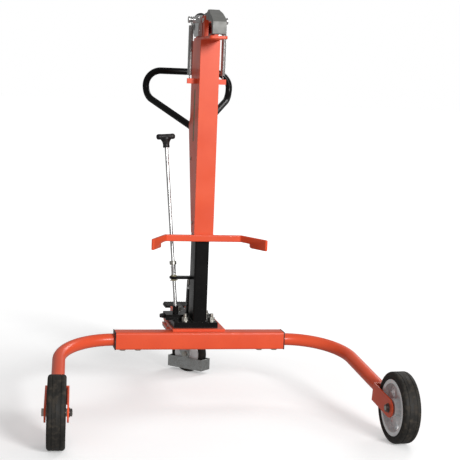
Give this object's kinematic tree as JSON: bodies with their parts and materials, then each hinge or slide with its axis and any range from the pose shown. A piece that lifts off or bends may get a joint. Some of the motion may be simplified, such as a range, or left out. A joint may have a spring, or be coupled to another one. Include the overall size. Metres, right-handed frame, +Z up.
{
  "type": "foot-pumped drum lifter",
  "caption": "Wheeled hydraulic lifter for drums: splayed legs, a foot-pumped mast with a beak that grips the drum's rim, a belly bar, a push handle and a rear castor.",
  "frame": {"origin": "on the floor, under the middle of the lifter's length and width", "axes": "+Z up, -Y towards the drum, +Y towards the push handle and the castor, +X to the right as seen from the drum side looking along +Y"},
  "size_m": [1.0282, 1.1519, 1.197],
  "materials": {
    "orange_paint": "semi-gloss",
    "black_paint": "gloss",
    "black_plastic": "matte",
    "zinc": "zinc plated",
    "bright_steel": "polished",
    "jaw_steel": "ground",
    "aluminium": "cast",
    "tyre": "matte",
    "rubber": "ribbed",
    "nylon": "matte"
  },
  "bodies": {
    "root": {"crossbeam": "orange_paint", "rear_frame": "orange_paint", "mount_plate": "orange_paint", "left_leg": "orange_paint", "right_leg": "orange_paint", "leg_bushes": "black_plastic", "frame_bolts": "zinc", "left_fork": "orange_paint", "right_fork": "orange_paint", "front_axles": "zinc", "axle_nuts": "zinc", "wheel_spacers": "zinc", "base_plate": "black_paint", "plate_studs": "zinc", "column": "black_paint", "handle_stem": "black_paint", "push_handle": "black_paint", "lift_cylinder": "bright_steel", "cylinder_gland": "bright_steel", "pump_block": "black_paint", "pump_barrel": "black_paint", "rod_guide": "black_paint", "guide_bush": "nylon", "pedal_bracket": "black_paint", "pedal_pin": "zinc", "castor_plate": "zinc", "castor_kingpin": "zinc", "plunger_spring": "black_paint", "release_spring": "bright_steel"},
    "left_wheel": {"left_hub": "aluminium", "left_tyre": "tyre", "left_bearings": "bright_steel"},
    "right_wheel": {"right_hub": "aluminium", "right_tyre": "tyre", "right_bearings": "bright_steel"},
    "castor_swivel": {"castor_fork": "zinc", "castor_axle": "zinc", "wheel_guard": "zinc"},
    "castor_wheel": {"castor_hub": "aluminium", "castor_tyre": "tyre"},
    "mast": {"mast_channel": "orange_paint", "nose_plate": "orange_paint", "head_cheeks": "orange_paint", "belly_bar": "orange_paint", "guide_pads": "nylon", "guide_screws": "zinc", "lift_ram": "bright_steel", "head_pins": "bright_steel", "jaw_springs": "bright_steel"},
    "jaw": {"beak": "jaw_steel", "jaw_side_plates": "bright_steel", "spring_pin": "bright_steel", "pull_ring": "black_paint"},
    "pedal": {"pedal_lever": "black_paint", "pedal_pad": "rubber"},
    "plunger": {"pump_plunger": "bright_steel"},
    "release": {"release_rod": "bright_steel", "release_knob": "black_plastic", "rod_collar": "zinc"},
    "valve": {"valve_knob": "black_plastic"}
  },
  "joints": [
    {"name": "left_wheel_spin", "type": "hinge", "parent": "root", "child": "left_wheel", "pos_m": [-0.474, -0.47503, 0.1], "axis": [0.9972, -0.075, 0], "continuous": true},
    {"name": "right_wheel_spin", "type": "hinge", "parent": "root", "child": "right_wheel", "pos_m": [0.474, -0.47503, 0.1], "axis": [0.9972, 0.075, 0], "continuous": true},
    {"name": "castor_turn", "type": "hinge", "parent": "root", "child": "castor_swivel", "pos_m": [0, 0.44397, 0.139], "axis": [0, 0, 1], "continuous": true},
    {"name": "castor_wheel_spin", "type": "hinge", "parent": "castor_swivel", "child": "castor_wheel", "pos_m": [0.0297, 0.41427, 0.0625], "axis": [-0.7071, -0.7071, 0], "continuous": true},
    {"name": "mast_lift", "type": "slide", "parent": "root", "child": "mast", "axis": [0, 0, 1], "range_m": [0, 0.25]},
    {"name": "jaw_open", "type": "hinge", "parent": "mast", "child": "jaw", "pos_m": [0, 0.16397, 1.15], "axis": [-1, 0, 0], "range_deg": [0, 30], "stiffness_Nm_per_rad": 10, "springref_deg": -17.19, "deforming": ["jaw_springs"]},
    {"name": "pedal_press", "type": "hinge", "parent": "root", "child": "pedal", "pos_m": [0, 0.17197, 0.345], "axis": [-1, 0, 0], "range_deg": [0, 7], "stiffness_Nm_per_rad": 60, "springref_deg": -11.46},
    {"name": "plunger_slide", "type": "slide", "parent": "root", "child": "plunger", "axis": [0, 0, -1], "range_m": [0, 0.0065], "deforming": ["plunger_spring"]},
    {"name": "release_push", "type": "slide", "parent": "root", "child": "release", "axis": [0.0726, -0.1177, -0.9904], "range_m": [0, 0.008], "stiffness_N_per_m": 900, "springref_m": -0.012, "deforming": ["release_spring"]},
    {"name": "valve_turn", "type": "hinge", "parent": "root", "child": "valve", "pos_m": [-0.101, 0.13897, 0.2435], "axis": [-1, 0, 0], "range_deg": [0, 270]}
  ],
  "couplings": [
    {"joint": "plunger_slide", "follows": "pedal_press", "m_per_rad": 0.047}
  ]
}
